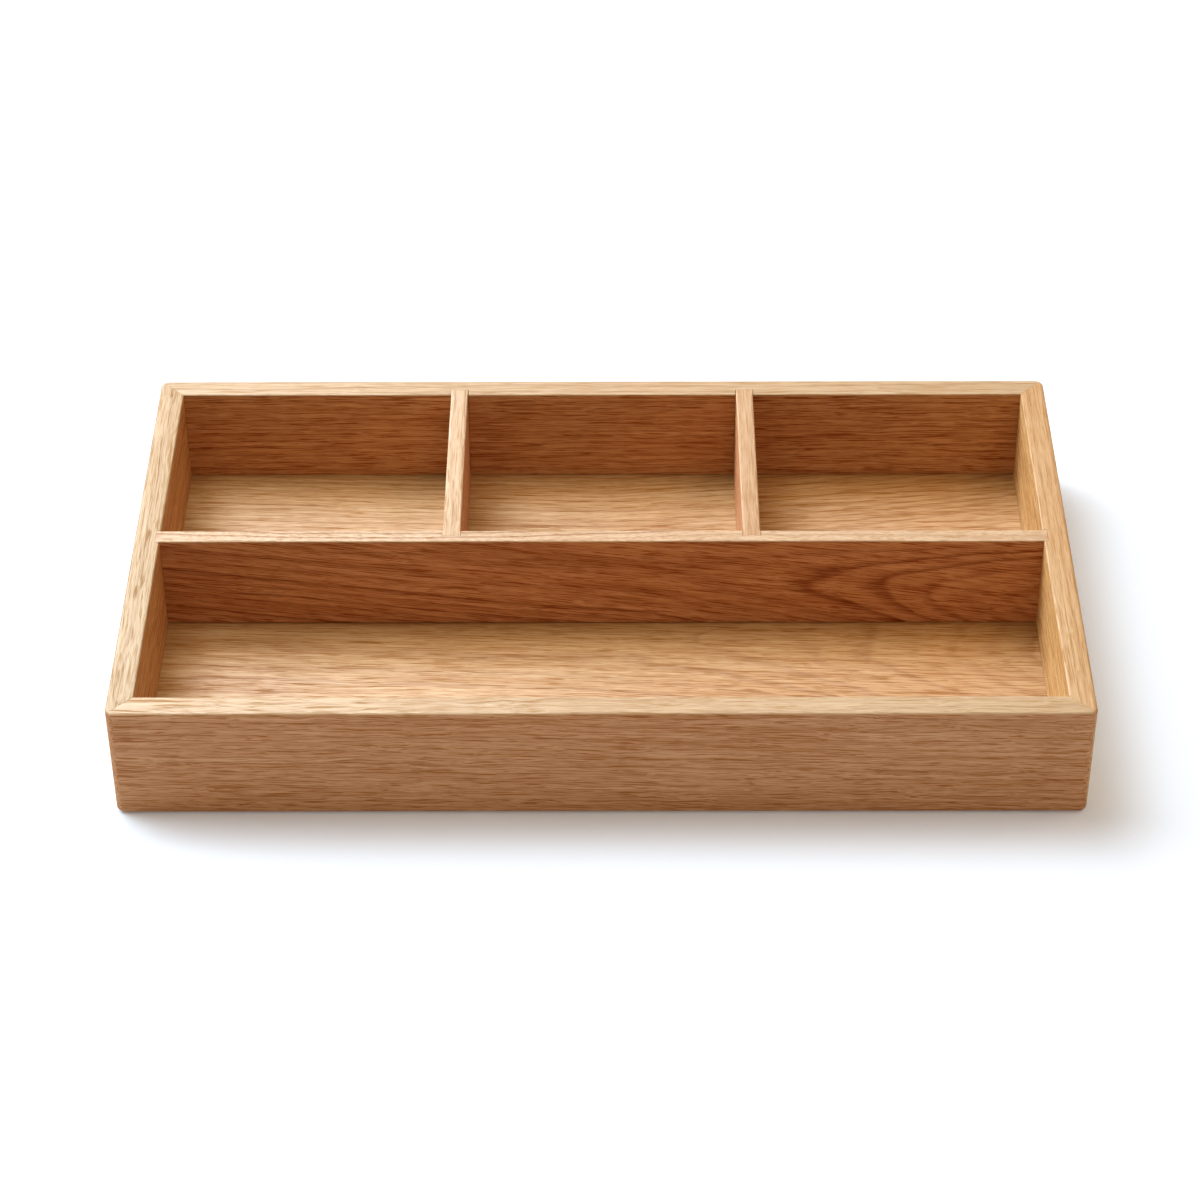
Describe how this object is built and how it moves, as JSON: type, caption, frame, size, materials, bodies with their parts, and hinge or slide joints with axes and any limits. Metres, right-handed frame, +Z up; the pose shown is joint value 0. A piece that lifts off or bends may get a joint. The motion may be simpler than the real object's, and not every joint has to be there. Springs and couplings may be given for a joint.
{
  "type": "desk organizer tray",
  "caption": "Shallow rectangular oak desk tray with mitred walls and fixed dividers: a long compartment in front for pens, and smaller compartments behind it for small office goods.",
  "frame": {"origin": "under the middle of the tray, on the surface that it stands on", "axes": "+X along the tray to the right, +Y from the front to the back, where the small compartments are, +Z up"},
  "size_m": [0.33, 0.189, 0.045],
  "materials": {
    "wall_oak": "oiled, satin",
    "divider_oak": "oiled, satin",
    "base_oak": "oiled, satin",
    "tongue_beech": "bare, planed"
  },
  "bodies": {
    "root": {"front_wall": "wall_oak", "back_wall": "wall_oak", "left_wall": "wall_oak", "right_wall": "wall_oak", "long_divider": "divider_oak", "left_short_divider": "divider_oak", "right_short_divider": "divider_oak", "base_panel": "base_oak", "front_left_tongue": "tongue_beech", "front_right_tongue": "tongue_beech", "back_left_tongue": "tongue_beech", "back_right_tongue": "tongue_beech"}
  },
  "joints": []
}
